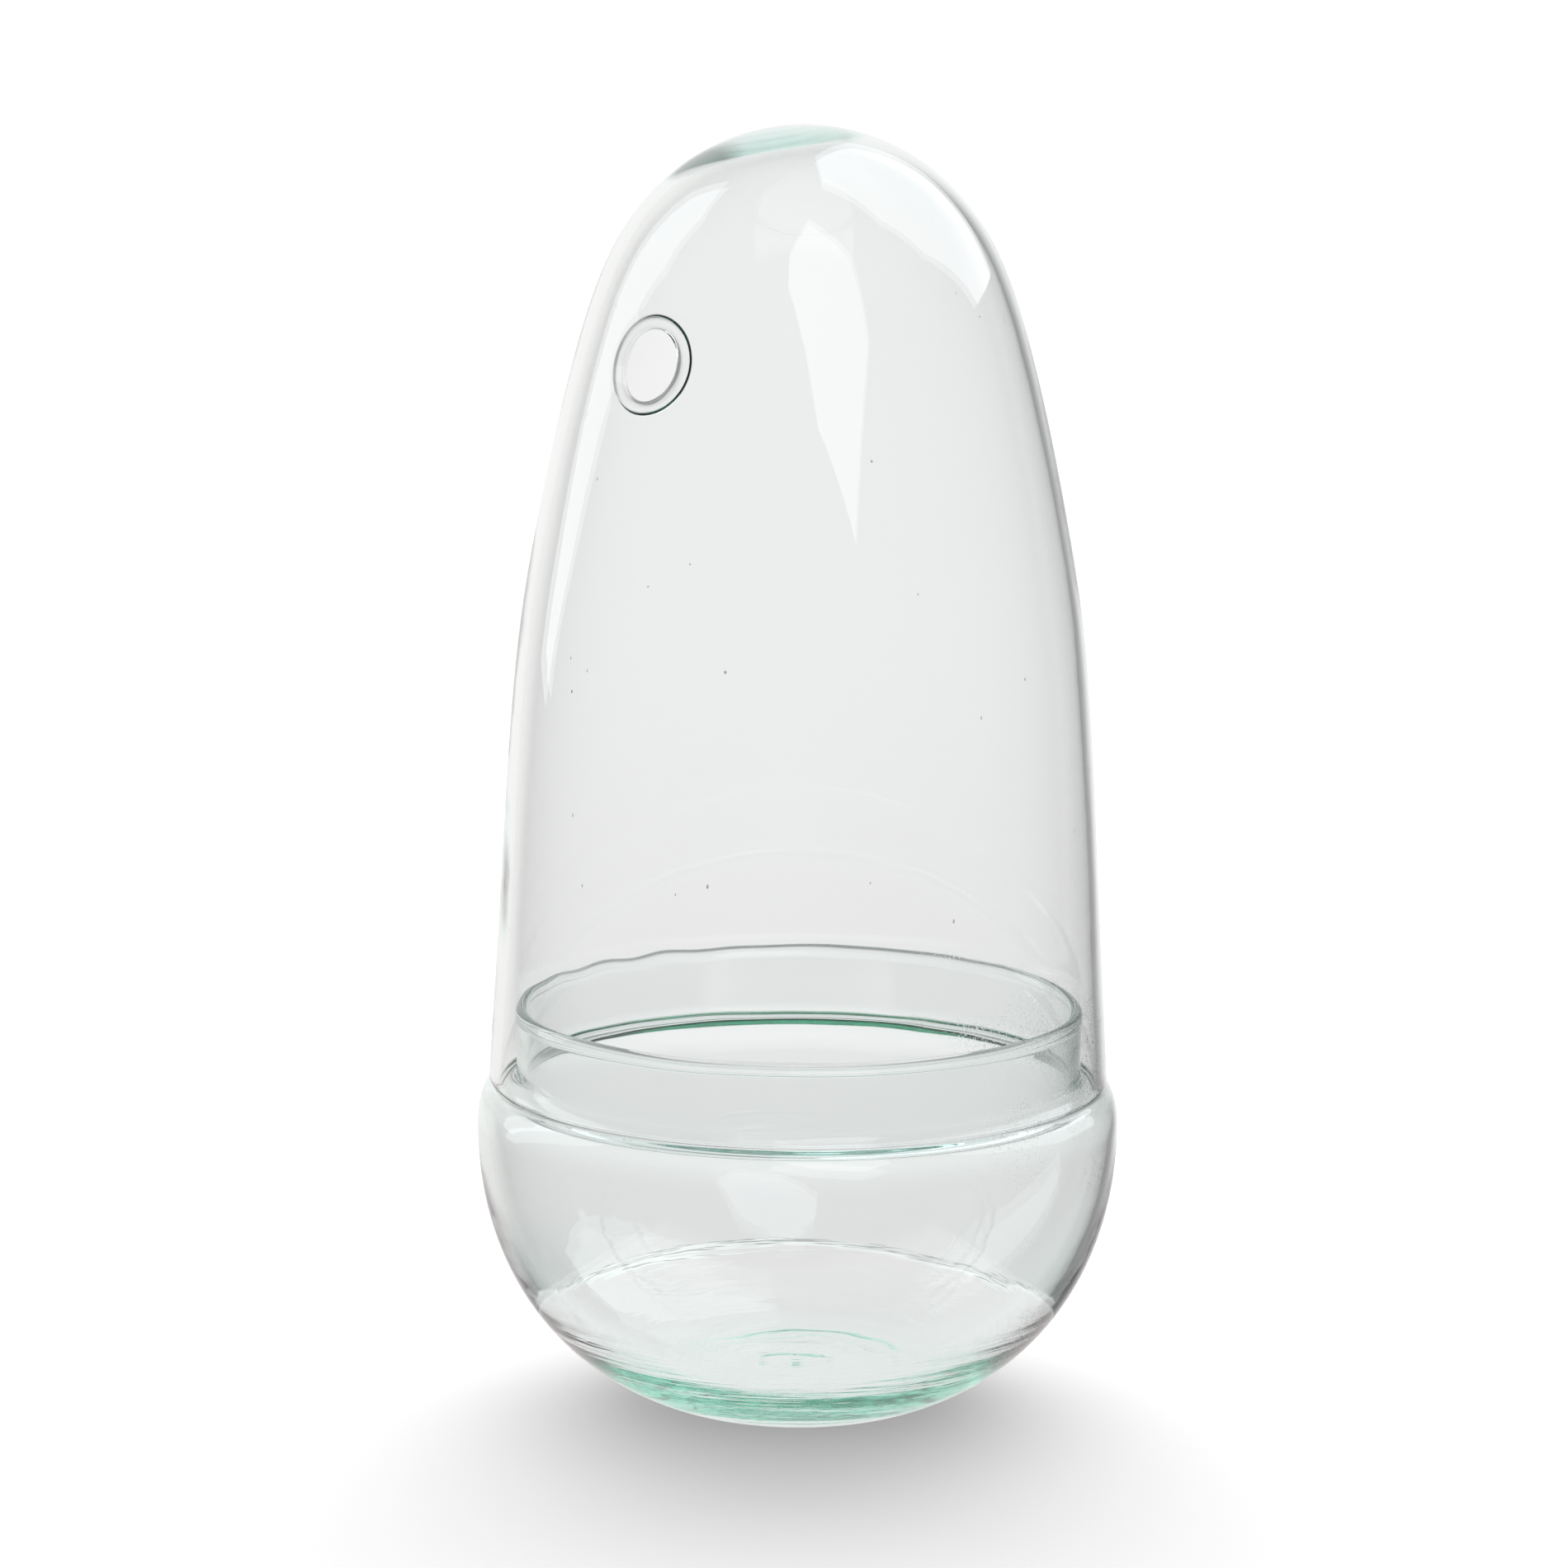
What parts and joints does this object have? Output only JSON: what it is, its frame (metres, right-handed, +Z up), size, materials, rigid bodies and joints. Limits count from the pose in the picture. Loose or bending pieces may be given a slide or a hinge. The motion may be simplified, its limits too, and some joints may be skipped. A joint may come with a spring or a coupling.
{
  "type": "glass cloche",
  "caption": "Tall egg-topped blown-glass cloche with a round vent, resting over the collar of a round footed glass bowl, as a tabletop mini greenhouse.",
  "frame": {"origin": "centre of the foot's flat underside, on the surface that the object stands on", "axes": "+Z up along the axis of both pieces of glass; -Y towards the vent hole, so X = 0 is the plane that halves the vent"},
  "size_m": [0.17, 0.17, 0.3384],
  "materials": {
    "bowl_glass": "clear hand-blown soda-lime glass, faint green, deeper green in the thick base",
    "dome_glass": "clear hand-blown soda-lime glass, faint green in the thick crown"
  },
  "bodies": {
    "bowl": {"bowl": "bowl_glass"},
    "dome": {"dome": "dome_glass"}
  },
  "joints": [
    {"name": "dome_lift", "type": "slide", "parent": "bowl", "child": "dome", "axis": [0, 0, 1], "range_m": [0, 0.15]}
  ]
}
